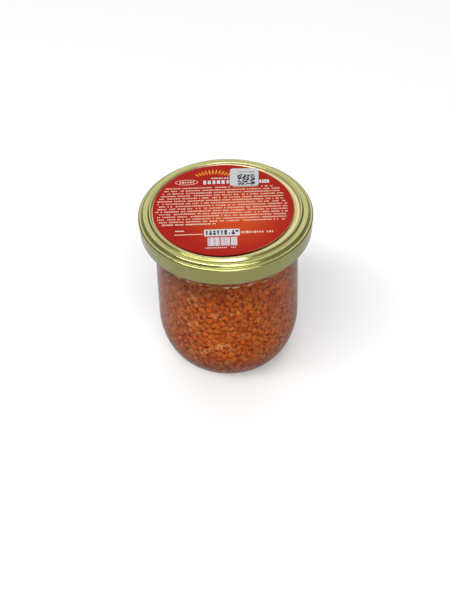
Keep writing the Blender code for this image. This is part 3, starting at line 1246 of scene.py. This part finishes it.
class ROE_OT_stage(bpy.types.Operator):
    """Set up the floor, the light and the camera."""

    bl_idname = "roe.stage"
    bl_label = "Stage"

    def execute(self, context):
        stage = context.scene.roe_stage
        make_floor(context.scene.roe_jar_colours)
        make_light(context.scene, stage)
        make_camera(context.scene, stage)
        context.scene.view_settings.view_transform = "Standard"
        return {"FINISHED"}


def make_floor(colours):
    mesh = bmesh.new()
    bmesh.ops.create_grid(mesh, x_segments=2, y_segments=2, size=3.0)
    floor = finished("floor", mesh)
    floor.data.materials.append(floor_material(colours))


def make_light(scene, stage):
    """An even sky, dimmer low down and at the sides, and three soft lamps."""
    world = bpy.data.worlds.new("studio")
    world.use_nodes = True
    tree = world.node_tree
    way = put(tree, "ShaderNodeTexCoord").outputs["Generated"]
    height = axis(tree, way, "Z")
    sideways = maths(tree, "ABSOLUTE", axis(tree, way, "X"))
    side = ramp(tree, sideways, 0.20, 0.70, low=1.0, high=0.70, easing="SMOOTHSTEP")
    rise = ramp(tree, height, 0.05, 0.55, low=0.60, easing="SMOOTHSTEP")
    top = ramp(tree, height, 0.76, 0.94, high=0.8, easing="SMOOTHSTEP")
    both = maths(tree, "ADD", rise, top)
    dimmed = maths(tree, "MULTIPLY", both, side)
    strength = maths(tree, "MULTIPLY", dimmed, stage.sky)
    tree.links.new(strength, tree.nodes["Background"].inputs["Strength"])
    tree.nodes["Background"].inputs["Color"].default_value = (1.0, 1.0, 1.0, 1.0)
    scene.world = world
    make_lamp(scene, "key", stage.key, (1.1, 0.24), (-0.20, -0.40, 0.95))
    make_lamp(scene, "fill", stage.fill, (0.8, 0.4), (0.25, -0.92, 0.42))
    make_lamp(scene, "back", stage.back, (2.0, 1.2), (0.0, 1.05, 1.05))


def make_lamp(scene, name, power, size, place):
    """A rectangular lamp aimed at the middle of the jar."""
    lamp = bpy.data.lights.new(name, "AREA")
    lamp.energy = power
    lamp.shape = "RECTANGLE"
    lamp.size, lamp.size_y = size
    obj = bpy.data.objects.new(name, lamp)
    obj.location = place
    aim = Vector((0, 0, 0.045)) - obj.location
    obj.rotation_euler = aim.to_track_quat("-Z", "Y").to_euler()
    scene.collection.objects.link(obj)


def make_camera(scene, stage):
    """Places the camera from its angle, its turn and its distance to the label."""
    low, high = math.sin(stage.elevation), math.cos(stage.elevation)
    back = Vector((0, -high, low))
    level = Vector((1, 0, 0))
    upright = Vector((0, low, high))
    right = level * math.cos(stage.roll) - upright * math.sin(stage.roll)
    up = level * math.sin(stage.roll) + upright * math.cos(stage.roll)
    aim = Vector((0, 0, LABEL_HIGH.z)) - up * stage.lift
    camera = bpy.data.objects.new("camera", bpy.data.cameras.new("camera"))
    camera.data.lens = stage.lens
    turn = Matrix((right, up, back)).transposed().to_4x4()
    camera.matrix_world = Matrix.Translation(aim + back * stage.distance) @ turn
    scene.collection.objects.link(camera)
    scene.camera = camera


MAKERS = (
    ROE_OT_jar, ROE_OT_brine, ROE_OT_eggs, ROE_OT_milk, ROE_OT_froth_and_glints, ROE_OT_lid, ROE_OT_label,
    ROE_OT_lines, ROE_OT_panels, ROE_OT_ornament, ROE_OT_sticker, ROE_OT_stage,
)
SETTINGS = {
    "roe_jar_sizes": JarSizes, "roe_lid_sizes": LidSizes, "roe_roe_sizes": RoeSizes,
    "roe_label_sizes": LabelSizes, "roe_jar_colours": JarColours, "roe_stage": StageSettings,
}


class ROE_PT_panel(bpy.types.Panel):
    """Lists the makers and what they read."""

    bl_idname = "ROE_PT_panel"
    bl_label = "Roe jar"
    bl_space_type = "VIEW_3D"
    bl_region_type = "UI"
    bl_category = "Roe jar"

    def draw(self, context):
        for maker in MAKERS:
            self.layout.operator(maker.bl_idname)
        for name, group in SETTINGS.items():
            box = self.layout.box()
            for key in group.__annotations__:
                box.prop(getattr(context.scene, name), key)


def register():
    for group in SETTINGS.values():
        bpy.utils.register_class(group)
    for maker in (*MAKERS, ROE_PT_panel):
        bpy.utils.register_class(maker)
    for name, group in SETTINGS.items():
        setattr(bpy.types.Scene, name, PointerProperty(type=group))


def unregister():
    for name in SETTINGS:
        delattr(bpy.types.Scene, name)
    for maker in (ROE_PT_panel, *reversed(MAKERS)):
        bpy.utils.unregister_class(maker)
    for group in SETTINGS.values():
        bpy.utils.unregister_class(group)


def main():
    register()
    for maker in MAKERS:
        group, name = maker.bl_idname.split(".")
        getattr(getattr(bpy.ops, group), name)()


if __name__ == "__main__":
    main()
